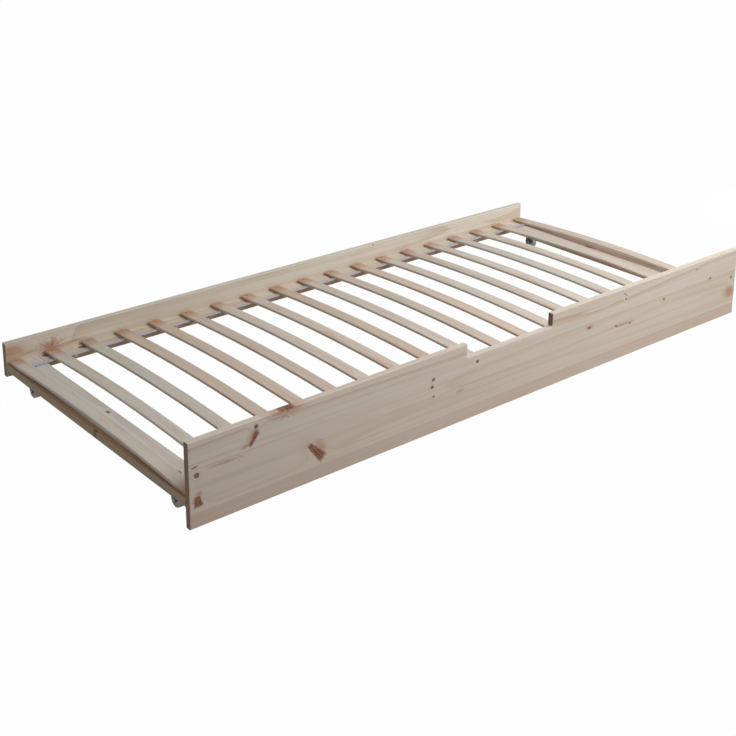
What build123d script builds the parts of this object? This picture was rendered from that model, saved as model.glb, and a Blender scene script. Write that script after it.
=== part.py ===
from build123d import *
import os
from math import hypot, sqrt

os.makedirs("parts", exist_ok=True)

# A low pine trundle bed that rolls out from under a higher bed.
# Frame: +X along the bed, front board towards -Y, +Z up, origin on the floor
# under the middle of the bed. All sizes are in millimetres.

# ---------------------------------------------------------------- driving sizes
# Whole bed
bed_length = 2000.0  # along the two side boards
bed_depth = 940.0  # over the two side boards
board_thickness = 18.0  # front and back boards

# Front board and its hand notch
front_floor_gap = 3.0  # floor to the front board's lower edge
front_board_height = 213.0
notch_width = 320.0
notch_depth = 38.0
notch_corner_radius = 7.0

# Back board
back_floor_gap = 36.0  # floor to the back board's lower edge
back_board_height = 97.0

# End boards, laid flat across the bed between the side boards' ends
end_board_width = 92.0
end_board_thickness = 20.0

# Ledgers, between the end boards and against the side boards, level with them on top
ledger_width = 45.0
ledger_thickness = 20.0

# Slats, bowed upwards
slat_count = 19
slat_width = 38.0
slat_thickness = 8.0
slat_bow = 16.0  # rise of the middle over the ends
slat_end_clearance = 4.0  # slat end to side board
slat_row_margin = 4.5  # first slat's outer edge to the side boards' ends

# Webbing straps under the slats
strap_width = 18.0
strap_thickness = 1.2
strap_ledger_gap = 2.0  # strap edge to the ledger's inner face
strap_sag = 1.4  # drop between two slats
strap_end_inset = 5.0  # strap end to the outer edge of the end slat

# Staples of flat wire
staple_crown = 6.4  # over the two legs
staple_wire_width = 1.3
staple_wire_thickness = 0.9
slat_staple_length = 25.0
slat_staple_end_distance = 8.0  # staple to the slat's end
slat_staple_sink = 0.5  # crown pressed into the slat's top
strap_staple_length = 6.5

# Casters: a fork under a plate, a plastic wheel on a rivet
caster_height = 54.0  # floor to the end boards
wheel_diameter = 40.0
wheel_width = 17.0
wheel_hub_width = 18.0
wheel_hub_diameter = 13.0
wheel_rim_depth = 4.0
wheel_web_thickness = 8.0
wheel_edge_chamfer = 1.5
axle_diameter = 5.0
axle_running_clearance = 0.08  # radial
axle_head_diameter = 9.5
axle_head_height = 1.6
fork_side_clearance = 0.5  # wheel hub to each cheek
sheet_thickness = 1.8
fork_bend_radius = 1.2  # inside the fold
cheek_top_width = 40.0
cheek_tip_radius = 7.0
plate_width = 42.0  # along the bed
plate_length = 50.0  # across the bed
plate_corner_radius = 4.0
plate_hole_margin = 4.5  # hole centre to plate edge, both ways
caster_end_distance = 37.5  # axle middle to the side boards' ends
caster_side_distance = 109.0  # axle to the front and back faces of the bed

# Screws and dowels
screw_diameter = 4.0
screw_head_diameter = 8.0
screw_point_length = 4.0
ledger_screw_bite = 13.0  # depth reached in the side board
ledger_screw_step = 3  # one screw every so many slat gaps
caster_screw_diameter = 3.5
caster_screw_head_diameter = 6.6
caster_screw_head_height = 2.2
caster_screw_bite = 12.0
dowel_diameter = 8.0
dowel_length = 35.0
dowel_bite = 12.0  # depth reached in the side board
dowel_spacing = 24.0  # between the two dowels at each end of an end board

# Eased edges
board_easing = 2.5
batten_easing = 2.0
slat_easing = 1.5

# ---------------------------------------------------------------- worked out
half_length = bed_length / 2
front_inner = -(bed_depth / 2 - board_thickness)
back_inner = bed_depth / 2 - board_thickness
end_top = caster_height + end_board_thickness
slat_seat = end_top
end_middle = half_length - end_board_width / 2
ledger_half = half_length - end_board_width
ledger_bottom = end_top - ledger_thickness
ledger_inner = back_inner - ledger_width

slat_half = back_inner - slat_end_clearance
slat_radius = (slat_half**2 + slat_bow**2) / (2 * slat_bow)
first_slat = -half_length + slat_row_margin + slat_width / 2
slat_pitch = -2 * first_slat / (slat_count - 1)
slat_places = [first_slat + slat_pitch * i for i in range(slat_count)]

strap_reach = slat_width / 2 - first_slat - strap_end_inset
strap_outer = ledger_inner - strap_ledger_gap
strap_inner = strap_outer - strap_width
strap_middle = (strap_outer + strap_inner) / 2

staple_middle = slat_half - slat_staple_end_distance

axle_height = wheel_diameter / 2
fork_gap = wheel_hub_width + 2 * fork_side_clearance
fork_width = fork_gap + 2 * sheet_thickness
fork_top = caster_height - sheet_thickness
caster_x = half_length - caster_end_distance
caster_y = bed_depth / 2 - caster_side_distance
caster_places = {
    "front_left": (-caster_x, -caster_y),
    "front_right": (caster_x, -caster_y),
    "back_left": (-caster_x, caster_y),
    "back_right": (caster_x, caster_y),
}


def slat_underside(y):
    """Height of the slats' lower face at depth y: a circle through both ends and the crown."""
    return slat_seat + slat_bow - slat_radius + sqrt(slat_radius**2 - y**2)


# Where the staples' crowns lie: pressed halfway into the slats' tops, and under the straps
slat_crown_bottom = slat_underside(staple_middle) + slat_thickness - slat_staple_sink
slat_crown_height = slat_crown_bottom + staple_wire_thickness
strap_crown_height = slat_underside(strap_middle + staple_wire_width / 2) - strap_thickness


# ---------------------------------------------------------------- fasteners
# One of each kind stands at the origin, pointing along +Z, and is copied into place.
with BuildPart() as ledger_screw:
    ledger_screw_length = ledger_width + ledger_screw_bite
    with BuildSketch(Plane.XZ):
        with BuildLine():
            Polyline(
                (0, 0),
                (screw_head_diameter / 2, 0),
                (screw_diameter / 2, (screw_head_diameter - screw_diameter) / 2),
                (screw_diameter / 2, ledger_screw_length - screw_point_length),
                (0, ledger_screw_length),
                close=True,
            )
        make_face()
    revolve(axis=Axis.Z)

# Pan head below z = 0, shank through the caster plate and into the wood
with BuildPart() as caster_screw:
    caster_screw_length = sheet_thickness + caster_screw_bite
    with BuildSketch(Plane.XZ):
        with BuildLine():
            Polyline(
                (0, -caster_screw_head_height),
                (0, caster_screw_length),
                (caster_screw_diameter / 2, caster_screw_length - screw_point_length),
                (caster_screw_diameter / 2, 0),
                (caster_screw_head_diameter / 2, 0),
                (caster_screw_head_diameter / 2, -caster_screw_head_height / 2),
                (caster_screw_head_diameter / 3, -caster_screw_head_height),
                close=True,
            )
        make_face()
    revolve(axis=Axis.Z)

# Staples of flat wire: the crown lies along X at z = 0 and both legs stand on one side of it
with BuildPart() as slat_staple:
    with BuildSketch(Plane.XZ):
        Rectangle(staple_crown, slat_staple_length, align=(Align.CENTER, Align.MAX))
        with Locations((0, -staple_wire_thickness)):
            Rectangle(
                staple_crown - 2 * staple_wire_thickness,
                slat_staple_length,
                align=(Align.CENTER, Align.MAX),
                mode=Mode.SUBTRACT,
            )
    extrude(amount=staple_wire_width / 2, both=True)

with BuildPart() as strap_staple:
    with BuildSketch(Plane.XZ):
        with Locations((0, -staple_wire_thickness)):
            Rectangle(
                staple_crown,
                strap_staple_length + staple_wire_thickness,
                align=(Align.CENTER, Align.MIN),
            )
        Rectangle(
            staple_crown - 2 * staple_wire_thickness,
            strap_staple_length,
            align=(Align.CENTER, Align.MIN),
            mode=Mode.SUBTRACT,
        )
    extrude(amount=staple_wire_width / 2, both=True)

with BuildPart() as dowel:
    Cylinder(dowel_diameter / 2, dowel_length, align=(Align.CENTER, Align.CENTER, Align.MIN))

# Ledger screws run outwards through a ledger into the side board, between two slats
ledger_screw_height = end_top - ledger_thickness / 2
gap_middles = [x + slat_pitch / 2 for x in slat_places[:-1]]
ledger_screw_places = gap_middles[1::ledger_screw_step]

with BuildPart() as ledger_screws_front:
    with Locations(
        *[Location((x, -ledger_inner, ledger_screw_height), (90, 0, 0)) for x in ledger_screw_places]
    ):
        add(ledger_screw.part)
ledger_screws_front.part.label = "ledger_screws_front"
export_step(ledger_screws_front.part, "parts/ledger_screws_front.step")

with BuildPart() as ledger_screws_back:
    with Locations(
        *[Location((x, ledger_inner, ledger_screw_height), (-90, 0, 0)) for x in ledger_screw_places]
    ):
        add(ledger_screw.part)
ledger_screws_back.part.label = "ledger_screws_back"
export_step(ledger_screws_back.part, "parts/ledger_screws_back.step")

# Two dowels join each end of an end board to a side board, and one each end of a ledger
# to an end board
side_dowel_height = caster_height + end_board_thickness / 2
side_dowel_outer = back_inner + dowel_bite
side_dowel_x = [
    side * end_middle + s * dowel_spacing / 2 for side in (-1, 1) for s in (-1, 1)
]
ledger_dowel_height = end_top - ledger_thickness / 2
ledger_dowel_inner = ledger_half - dowel_length / 2
ledger_dowel_y = back_inner - ledger_width / 2

with BuildPart() as dowels:
    with Locations(
        *[Location((x, -side_dowel_outer, side_dowel_height), (-90, 0, 0)) for x in side_dowel_x],
        *[Location((x, side_dowel_outer, side_dowel_height), (90, 0, 0)) for x in side_dowel_x],
        *[
            Location((side * ledger_dowel_inner, s * ledger_dowel_y, ledger_dowel_height), (0, side * 90, 0))
            for side in (-1, 1)
            for s in (-1, 1)
        ],
    ):
        add(dowel.part)
dowels.part.label = "dowels"
export_step(dowels.part, "parts/dowels.step")

# Four screws hold each caster plate, one near each corner
plate_underside = caster_height - sheet_thickness
plate_hole_x = plate_width - 2 * plate_hole_margin
plate_hole_y = plate_length - 2 * plate_hole_margin

with BuildPart() as caster_screws:
    for caster_place in caster_places.values():
        with Locations((*caster_place, plate_underside)):
            with GridLocations(plate_hole_x, plate_hole_y, 2, 2):
                add(caster_screw.part)
caster_screws.part.label = "caster_screws"
export_step(caster_screws.part, "parts/caster_screws.step")

with BuildPart() as slat_staples_front:
    with Locations(*[(x, -staple_middle, slat_crown_height) for x in slat_places]):
        add(slat_staple.part)
slat_staples_front.part.label = "slat_staples_front"
export_step(slat_staples_front.part, "parts/slat_staples_front.step")

with BuildPart() as slat_staples_back:
    with Locations(*[(x, staple_middle, slat_crown_height) for x in slat_places]):
        add(slat_staple.part)
slat_staples_back.part.label = "slat_staples_back"
export_step(slat_staples_back.part, "parts/slat_staples_back.step")

with BuildPart() as strap_staples_front:
    with Locations(*[(x, -strap_middle, strap_crown_height) for x in slat_places]):
        add(strap_staple.part)
strap_staples_front.part.label = "strap_staples_front"
export_step(strap_staples_front.part, "parts/strap_staples_front.step")

with BuildPart() as strap_staples_back:
    with Locations(*[(x, strap_middle, strap_crown_height) for x in slat_places]):
        add(strap_staple.part)
strap_staples_back.part.label = "strap_staples_back"
export_step(strap_staples_back.part, "parts/strap_staples_back.step")

# ---------------------------------------------------------------- side boards
front_board_top = front_floor_gap + front_board_height

with BuildPart() as front_board:
    with BuildSketch(Plane.XZ.offset(bed_depth / 2)) as front_outline:
        with Locations((0, front_floor_gap)):
            Rectangle(bed_length, front_board_height, align=(Align.CENTER, Align.MIN))
        with Locations((0, front_board_top)):
            Rectangle(notch_width, notch_depth, align=(Align.CENTER, Align.MAX), mode=Mode.SUBTRACT)
        notch_floor = front_outline.vertices().group_by(Axis.Y)[1]
        fillet(notch_floor, radius=notch_corner_radius)
    extrude(amount=-board_thickness)
    broad_faces = front_board.faces().sort_by(Axis.Y)
    fillet(broad_faces[0].edges() + broad_faces[-1].edges(), radius=board_easing)
    add(ledger_screws_front.part, mode=Mode.SUBTRACT)
    add(dowels.part, mode=Mode.SUBTRACT)
front_board.part.label = "front_board"
export_step(front_board.part, "parts/front_board.step")

with BuildPart() as back_board:
    with BuildSketch(Plane.XZ.offset(-bed_depth / 2)):
        with Locations((0, back_floor_gap)):
            Rectangle(bed_length, back_board_height, align=(Align.CENTER, Align.MIN))
    extrude(amount=board_thickness)
    broad_faces = back_board.faces().sort_by(Axis.Y)
    fillet(broad_faces[0].edges() + broad_faces[-1].edges(), radius=board_easing)
    add(ledger_screws_back.part, mode=Mode.SUBTRACT)
    add(dowels.part, mode=Mode.SUBTRACT)
back_board.part.label = "back_board"
export_step(back_board.part, "parts/back_board.step")

# ---------------------------------------------------------------- end boards
for side_name, x_side in (("left", -1), ("right", 1)):
    with BuildPart() as end_board:
        with BuildSketch(Plane.XY.offset(caster_height)):
            with Locations((x_side * end_middle, 0)):
                Rectangle(end_board_width, back_inner - front_inner)
        extrude(amount=end_board_thickness)
        fillet(end_board.edges().filter_by(Axis.Y), radius=batten_easing)
        add(dowels.part, mode=Mode.SUBTRACT)
        add(caster_screws.part, mode=Mode.SUBTRACT)
        add(slat_staples_front.part, mode=Mode.SUBTRACT)
        add(slat_staples_back.part, mode=Mode.SUBTRACT)
    end_board.part.label = f"end_board_{side_name}"
    export_step(end_board.part, f"parts/end_board_{side_name}.step")

# ---------------------------------------------------------------- ledgers
with BuildPart() as ledger_front:
    with BuildSketch(Plane.XY.offset(ledger_bottom)):
        with Locations((0, front_inner)):
            Rectangle(2 * ledger_half, ledger_width, align=(Align.CENTER, Align.MIN))
    extrude(amount=ledger_thickness)
    fillet(ledger_front.faces().sort_by(Axis.Y)[-1].edges().filter_by(Axis.X), radius=batten_easing)
    add(ledger_screws_front.part, mode=Mode.SUBTRACT)
    add(dowels.part, mode=Mode.SUBTRACT)
    add(slat_staples_front.part, mode=Mode.SUBTRACT)
ledger_front.part.label = "ledger_front"
export_step(ledger_front.part, "parts/ledger_front.step")

with BuildPart() as ledger_back:
    with BuildSketch(Plane.XY.offset(ledger_bottom)):
        with Locations((0, back_inner)):
            Rectangle(2 * ledger_half, ledger_width, align=(Align.CENTER, Align.MAX))
    extrude(amount=ledger_thickness)
    fillet(ledger_back.faces().sort_by(Axis.Y)[0].edges().filter_by(Axis.X), radius=batten_easing)
    add(ledger_screws_back.part, mode=Mode.SUBTRACT)
    add(dowels.part, mode=Mode.SUBTRACT)
    add(slat_staples_back.part, mode=Mode.SUBTRACT)
ledger_back.part.label = "ledger_back"
export_step(ledger_back.part, "parts/ledger_back.step")

# ---------------------------------------------------------------- slats
for number, slat_x in enumerate(slat_places, start=1):
    with BuildPart() as slat:
        with BuildSketch(Plane.YZ.offset(slat_x - slat_width / 2)):
            with BuildLine():
                for level in (slat_seat, slat_seat + slat_thickness):
                    ThreePointArc((-slat_half, level), (0, level + slat_bow), (slat_half, level))
                for end in (-slat_half, slat_half):
                    Line((end, slat_seat), (end, slat_seat + slat_thickness))
            make_face()
        extrude(amount=slat_width)
        chamfer(slat.edges().filter_by(GeomType.CIRCLE), length=slat_easing)
        with Locations(*[(slat_x, y_side * staple_middle, slat_crown_height) for y_side in (-1, 1)]):
            add(slat_staple.part, mode=Mode.SUBTRACT)
        with Locations(*[(slat_x, y_side * strap_middle, strap_crown_height) for y_side in (-1, 1)]):
            add(strap_staple.part, mode=Mode.SUBTRACT)
    slat.part.label = f"slat_{number:02d}"
    export_step(slat.part, f"parts/slat_{number:02d}.step")

# ---------------------------------------------------------------- straps
# The webbing lies flat under each slat and hangs a little between two of them. Its
# section follows the slope of the slats' undersides from its outer to its inner edge.
strap_rise = slat_underside(strap_inner) - slat_underside(strap_outer)
strap_slant = hypot(strap_width, strap_rise)


def strap_edge(level):
    """One long edge of the strap seen from the front: flats under the slats, arcs between."""
    flat_half = slat_width / 2
    last = slat_count - 1
    for i, x in enumerate(slat_places):
        start = max(x - flat_half, -strap_reach)
        end = min(x + flat_half, strap_reach)
        Line((start, level), (end, level))
        if i < last:
            next_start = slat_places[i + 1] - flat_half
            ThreePointArc((end, level), ((end + next_start) / 2, level - strap_sag), (next_start, level))


for side_name, y_side in (("front", -1), ("back", 1)):
    with BuildPart() as strap:
        with BuildSketch(Plane.XZ.offset(-y_side * strap_outer)):
            with BuildLine():
                strap_top = slat_underside(strap_outer)
                strap_bottom = strap_top - strap_thickness
                strap_edge(strap_top)
                strap_edge(strap_bottom)
                for end_x in (-strap_reach, strap_reach):
                    Line((end_x, strap_top), (end_x, strap_bottom))
            make_face()
        extrude(amount=strap_slant, dir=(0, -y_side * strap_width, strap_rise))
        with Locations(*[(x, y_side * strap_middle, strap_crown_height) for x in slat_places]):
            add(strap_staple.part, mode=Mode.SUBTRACT)
    strap.part.label = f"strap_{side_name}"
    export_step(strap.part, f"parts/strap_{side_name}.step")

# ---------------------------------------------------------------- casters
# One caster stands under the origin, its axle along X, and is copied to each place.
with BuildPart() as bracket_form:
    # Fork folded from sheet: a web under the plate and two cheeks
    with BuildSketch(Plane.XZ) as fork_fold:
        with Locations((0, fork_top)):
            Rectangle(fork_width, fork_top, align=(Align.CENTER, Align.MAX))
        with Locations((0, fork_top - sheet_thickness)):
            Rectangle(fork_gap, fork_top, align=(Align.CENTER, Align.MAX), mode=Mode.SUBTRACT)
        fillet(fork_fold.vertices().group_by(Axis.Y)[-2], radius=fork_bend_radius)
        fillet(fork_fold.vertices().group_by(Axis.Y)[-1], radius=fork_bend_radius + sheet_thickness)
    extrude(amount=cheek_top_width / 2, both=True)
    # Both cheeks narrow in a V to a round tip at the axle
    with BuildSketch(Plane.YZ):
        with Locations((0, axle_height)):
            Circle(cheek_tip_radius)
        with Locations((0, fork_top)):
            Rectangle(cheek_top_width, sheet_thickness, align=(Align.CENTER, Align.MAX))
        make_hull()
    extrude(amount=fork_width, both=True, mode=Mode.INTERSECT)
    # Plate welded on the fork's web
    with BuildSketch(Plane.XY.offset(fork_top)):
        RectangleRounded(plate_width, plate_length, plate_corner_radius)
        with GridLocations(plate_hole_x, plate_hole_y, 2, 2):
            Circle(caster_screw_diameter / 2, mode=Mode.SUBTRACT)
    extrude(amount=sheet_thickness)
    # Axle hole through both cheeks
    with BuildSketch(Plane.YZ):
        with Locations((0, axle_height)):
            Circle(axle_diameter / 2)
    extrude(amount=fork_width, both=True, mode=Mode.SUBTRACT)

with BuildPart() as wheel_form:
    # Half section beside the axle: hub, thinner web and a rim with rounded edges
    with BuildSketch(Plane.XY.offset(axle_height)):
        with BuildSketch(mode=Mode.PRIVATE) as tread:
            with Locations((0, wheel_diameter / 2)):
                Rectangle(wheel_width, wheel_rim_depth, align=(Align.CENTER, Align.MAX))
            chamfer(tread.vertices().group_by(Axis.Y)[-1], length=wheel_edge_chamfer)
        add(tread.sketch)
        Rectangle(wheel_web_thickness, wheel_diameter / 2 - wheel_rim_depth, align=(Align.CENTER, Align.MIN))
        Rectangle(wheel_hub_width, wheel_hub_diameter / 2, align=(Align.CENTER, Align.MIN))
        bore_radius = axle_diameter / 2 + axle_running_clearance
        Rectangle(wheel_hub_width, bore_radius, align=(Align.CENTER, Align.MIN), mode=Mode.SUBTRACT)
    revolve(axis=Axis((0, 0, axle_height), (1, 0, 0)))

with BuildPart() as axle_form:
    # Rivet with a bevelled head outside each cheek
    with BuildSketch(Plane.XY.offset(axle_height)):
        with BuildLine():
            head_start = fork_width / 2
            head_end = head_start + axle_head_height
            head_radius = axle_head_diameter / 2
            shank_radius = axle_diameter / 2
            head_rim = head_radius - axle_head_height / 2
            half_outline = [
                (head_end, 0),
                (head_end, head_rim),
                (head_start + axle_head_height / 2, head_radius),
                (head_start, head_radius),
                (head_start, shank_radius),
            ]
            Polyline(*half_outline, *[(-x, r) for x, r in reversed(half_outline)], close=True)
        make_face()
    revolve(axis=Axis((0, 0, axle_height), (1, 0, 0)))

for place_name, caster_place in caster_places.items():
    with BuildPart() as caster_bracket:
        with Locations(caster_place):
            add(bracket_form.part)
    caster_bracket.part.label = f"caster_bracket_{place_name}"
    export_step(caster_bracket.part, f"parts/caster_bracket_{place_name}.step")

    with BuildPart() as caster_wheel:
        with Locations(caster_place):
            add(wheel_form.part)
    caster_wheel.part.label = f"caster_wheel_{place_name}"
    export_step(caster_wheel.part, f"parts/caster_wheel_{place_name}.step")

    with BuildPart() as caster_axle:
        with Locations(caster_place):
            add(axle_form.part)
    caster_axle.part.label = f"caster_axle_{place_name}"
    export_step(caster_axle.part, f"parts/caster_axle_{place_name}.step")
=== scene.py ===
import math

import bpy
import numpy as np
from mathutils import Euler, Matrix, Vector


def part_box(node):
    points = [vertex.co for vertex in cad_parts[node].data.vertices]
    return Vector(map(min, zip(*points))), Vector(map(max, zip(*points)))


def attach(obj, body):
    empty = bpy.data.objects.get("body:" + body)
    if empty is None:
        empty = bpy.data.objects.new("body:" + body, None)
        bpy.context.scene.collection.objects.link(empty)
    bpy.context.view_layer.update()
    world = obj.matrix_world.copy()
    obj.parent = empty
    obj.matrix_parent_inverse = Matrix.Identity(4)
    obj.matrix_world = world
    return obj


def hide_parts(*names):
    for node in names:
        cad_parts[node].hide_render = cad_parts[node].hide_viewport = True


bl_info = {
    "name": "Pine trundle bed",
    "version": (1, 0, 0),
    "blender": (4, 5, 0),
    "location": "3D View > Sidebar > Trundle bed",
    "description": "Finishes and studio for a low pine trundle bed on casters",
    "category": "Object",
}

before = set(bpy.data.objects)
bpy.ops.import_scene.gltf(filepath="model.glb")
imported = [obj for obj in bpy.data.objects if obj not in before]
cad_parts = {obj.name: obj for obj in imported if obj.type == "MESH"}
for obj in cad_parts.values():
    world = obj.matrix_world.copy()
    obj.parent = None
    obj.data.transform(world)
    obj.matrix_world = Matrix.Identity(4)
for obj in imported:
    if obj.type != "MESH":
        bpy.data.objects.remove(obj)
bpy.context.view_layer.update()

MM = 0.001
SLATS = sorted(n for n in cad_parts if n.startswith("slat_") and n[5:].isdigit())
PLACES = ("front_left", "front_right", "back_left", "back_right")

# Tone of each slat from left to right: c for cool, n for plain, w for warm and p for pinkish
SLAT_KINDS = "cccppwnwpnwpnnncnnw"
SLAT_THICKNESS = 8.0  # millimetres

# Axes along the grain, across it on the broad face, and into the board
UPRIGHT_BOARD = (0, 2, 1)
FLAT_BOARD = (0, 1, 2)
CROSS_BOARD = (1, 0, 2)


# ------------------------------------------------------------------ small helpers
def linear(hex_colour):
    """An sRGB hex colour as the linear RGBA that shaders work in."""
    channels = [int(hex_colour[i:i + 2], 16) / 255 for i in (0, 2, 4)]
    return (*[c / 12.92 if c <= 0.04045 else ((c + 0.055) / 1.055) ** 2.4 for c in channels], 1.0)


def put(tree, kind, *inputs, output=None, stops=(), **settings):
    """Adds a shader node and returns one of its outputs. Inputs are values or other outputs, given
    in order or by their capitalised names; stops are a ramp's places, each with a value or a colour."""
    node = tree.nodes.new("ShaderNode" + kind)
    for name in [n for n in settings if n[0].islower()]:
        setattr(node, name, settings.pop(name))
    pairs = list(zip([s for s in node.inputs if s.enabled], inputs))
    pairs += [(node.inputs[name.replace("_", " ")], value) for name, value in settings.items()]
    for socket, value in pairs:
        if isinstance(value, bpy.types.NodeSocket):
            tree.links.new(value, socket)
        else:
            socket.default_value = value
    while stops and len(node.color_ramp.elements) < len(stops):
        node.color_ramp.elements.new(1.0)
    for i, (place, value) in enumerate(stops):
        stop = node.color_ramp.elements[i]
        stop.position = place
        stop.color = linear(value) if isinstance(value, str) else (value, value, value, 1.0)
    return node.outputs[output] if output else next((s for s in node.outputs if s.enabled), None)


def start_material(name):
    """A new material, its tree and its surface shader."""
    material = bpy.data.materials.new(name)
    material.use_nodes = True
    return material, material.node_tree, material.node_tree.nodes["Principled BSDF"]


def finish_node(node_name, material):
    """Gives a construction node its finish."""
    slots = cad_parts[node_name].data.materials
    slots.clear()
    slots.append(material)


def new_piece(name, verts, faces, uv, material, body, replaced):
    """A smooth mesh object at the origin that rides on a body and stands for a construction node;
    uv holds one pair per face corner."""
    mesh = bpy.data.meshes.new(name)
    mesh.from_pydata(verts.tolist(), [], faces.tolist())
    mesh.uv_layers.new(name="UVMap").data.foreach_set("uv", uv.astype(np.float32).ravel())
    mesh.polygons.foreach_set("use_smooth", np.ones(len(mesh.polygons), bool))
    mesh.materials.append(material)
    piece = bpy.data.objects.new(name, mesh)
    bpy.context.scene.collection.objects.link(piece)
    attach(piece, body)
    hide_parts(replaced)
    return piece


# ------------------------------------------------------------------ settings
class PineSettings(bpy.types.PropertyGroup):
    """Colours and figure of the raw pine"""

    pale: bpy.props.StringProperty(
        name="Early wood", description="Pale wood between the ring lines", default="E3DACE"
    )
    late: bpy.props.StringProperty(
        name="Late wood", description="Darker ring lines", default="C6A581"
    )
    heart: bpy.props.StringProperty(
        name="Heartwood", description="Pinkish streaks of heartwood", default="CDA58C"
    )
    sap: bpy.props.StringProperty(
        name="Sapwood", description="Greenish grey streaks of sapwood", default="C8C0AC"
    )
    # Also used for the painted warm shade at the slats' ends
    flame: bpy.props.StringProperty(
        name="Flame", description="Warm streaks beside a knot", default="C08A66"
    )
    cool_slat: bpy.props.StringProperty(
        name="Cool slat", description="Ground colour of the greyest slats", default="DDD7CB"
    )
    plain_slat: bpy.props.StringProperty(
        name="Plain slat", description="Ground colour of most slats", default="DFD5C8"
    )
    warm_slat: bpy.props.StringProperty(
        name="Warm slat", description="Ground colour of the warmer slats", default="DFD0C1"
    )
    pink_slat: bpy.props.StringProperty(
        name="Pinkish slat", description="Ground colour of the pinkest slats", default="DFCCBA"
    )
    end_grain: bpy.props.StringProperty(
        name="End grain", description="Sawn ends, which soak up light", default="84705A"
    )
    # Also used for the painted shade on the slats' side faces near their ends
    knot: bpy.props.StringProperty(
        name="Knot", description="Middle of a sound knot", default="8A5C44"
    )
    red_knot: bpy.props.StringProperty(
        name="Red knot", description="Middle of a resinous knot", default="A8745C"
    )
    knot_rim: bpy.props.StringProperty(
        name="Knot rim", description="Bark ring round a knot", default="4A3428"
    )
    # Real years are 2 to 4 mm wide, too fine to show, so they are drawn wider
    ring_spacing: bpy.props.FloatProperty(
        name="Ring spacing", description="Width of one year's growth, in millimetres", default=6.0, min=0.5
    )
    roughness: bpy.props.FloatProperty(
        name="Roughness", description="Planed wood without a coat", default=0.62, min=0.0, max=1.0
    )


class StrapSettings(bpy.types.PropertyGroup):
    """Webbing straps under the slats"""

    colour: bpy.props.StringProperty(
        name="Colour", description="Yarn colour", default="D3D0D9"
    )
    # The groove colour is painted shade between the ribs.
    groove_shade: bpy.props.StringProperty(
        name="Groove colour", description="Colour between the ribs", default="9896A6"
    )
    thickness: bpy.props.FloatProperty(
        name="Thickness", description="Thickness of the webbing", default=1.2 * MM, unit="LENGTH"
    )
    sag: bpy.props.FloatProperty(
        name="Sag", description="Drop between two slats", default=1.4 * MM, unit="LENGTH"
    )
    rib_spacing: bpy.props.FloatProperty(
        name="Rib spacing", description="Distance between two cross ribs, in millimetres", default=2.2
    )


class CasterSettings(bpy.types.PropertyGroup):
    """Wheels and forks"""

    wheel_colour: bpy.props.StringProperty(
        name="Wheel", description="Moulded plastic", default="E2E2E0"
    )
    fork_colour: bpy.props.StringProperty(
        name="Fork", description="Coated steel", default="26262A"
    )
    edge_colour: bpy.props.StringProperty(
        name="Rubbed patch", description="Coat rubbed thin", default="56565A"
    )


class StudioSettings(bpy.types.PropertyGroup):
    """Camera, floor and light"""

    lens: bpy.props.FloatProperty(
        name="Lens", description="Focal length in millimetres on a 36 mm frame", default=63.75
    )
    position: bpy.props.FloatVectorProperty(
        name="Camera position", description="Camera place over the floor",
        default=(-2.325, -2.662, 1.570), unit="LENGTH",
    )
    heading: bpy.props.FloatProperty(
        name="Heading", description="Turn from the bed's depth towards +X",
        default=math.radians(39.85), subtype="ANGLE",
    )
    tilt: bpy.props.FloatProperty(
        name="Tilt", description="Downward tilt of the camera", default=math.radians(16.81), subtype="ANGLE"
    )
    roll: bpy.props.FloatProperty(
        name="Roll", description="Turn about the line of sight", default=math.radians(0.34), subtype="ANGLE"
    )
    shift_up: bpy.props.FloatProperty(
        name="Shift", description="Vertical shift of the lens, as a share of the frame", default=-0.25
    )
    floor_reach: bpy.props.FloatProperty(
        name="Floor reach", description="From the middle of the floor to its edge",
        default=25.0, unit="LENGTH",
    )
    sky: bpy.props.FloatProperty(
        name="Sky", description="Strength of the even white surroundings", default=0.28, min=0.0
    )
    lamp_place: bpy.props.FloatVectorProperty(
        name="Soft box position", description="Middle of the lamp",
        default=(0.80, -1.42, 2.0), unit="LENGTH",
    )
    lamp_target: bpy.props.FloatVectorProperty(
        name="Soft box target", description="Point that the lamp faces",
        default=(0.4, 0.0, 0.1), unit="LENGTH",
    )
    lamp_size: bpy.props.FloatProperty(
        name="Soft box width", description="Side of the square lamp", default=1.6, unit="LENGTH"
    )
    lamp_power: bpy.props.FloatProperty(
        name="Soft box power", description="Power of the lamp, in watts", default=41.0, min=0.0
    )
    side_place: bpy.props.FloatVectorProperty(
        name="Side lamp position", description="Middle of the low lamp past the right end",
        default=(2.1, 0.0, 0.33), unit="LENGTH",
    )
    side_target: bpy.props.FloatVectorProperty(
        name="Side lamp target", description="Point that the low lamp faces",
        default=(0.96, 0.0, 0.09), unit="LENGTH",
    )
    side_size: bpy.props.FloatProperty(
        name="Side lamp width", description="Side of the square low lamp", default=0.6, unit="LENGTH"
    )
    side_power: bpy.props.FloatProperty(
        name="Side lamp power", description="Power of the low lamp, in watts", default=6.5, min=0.0
    )


# ------------------------------------------------------------------ pine
# Patches of the figure in millimetres: along the grain, across it and into the board
SLOW_BEND = (900, 80, 90)
QUICK_BEND = (160, 12, 30)
BAND = (900, 7, 14)
STREAK = (1100, 9, 30)
BLOTCH = (420, 34, 40)
SLAT_PATCH = (170, 22, 30)
# Real fibres are under a tenth of a millimetre wide, too fine to show, so they are drawn coarser
FIBRE = (90, 2.4, 2.4)

# Marks reach through a board of any thickness, in millimetres
THROUGH = 1e6

# Spreads the staves' seeds, so that neighbours get unlike noise
SEED_STEP = 7.31


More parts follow.
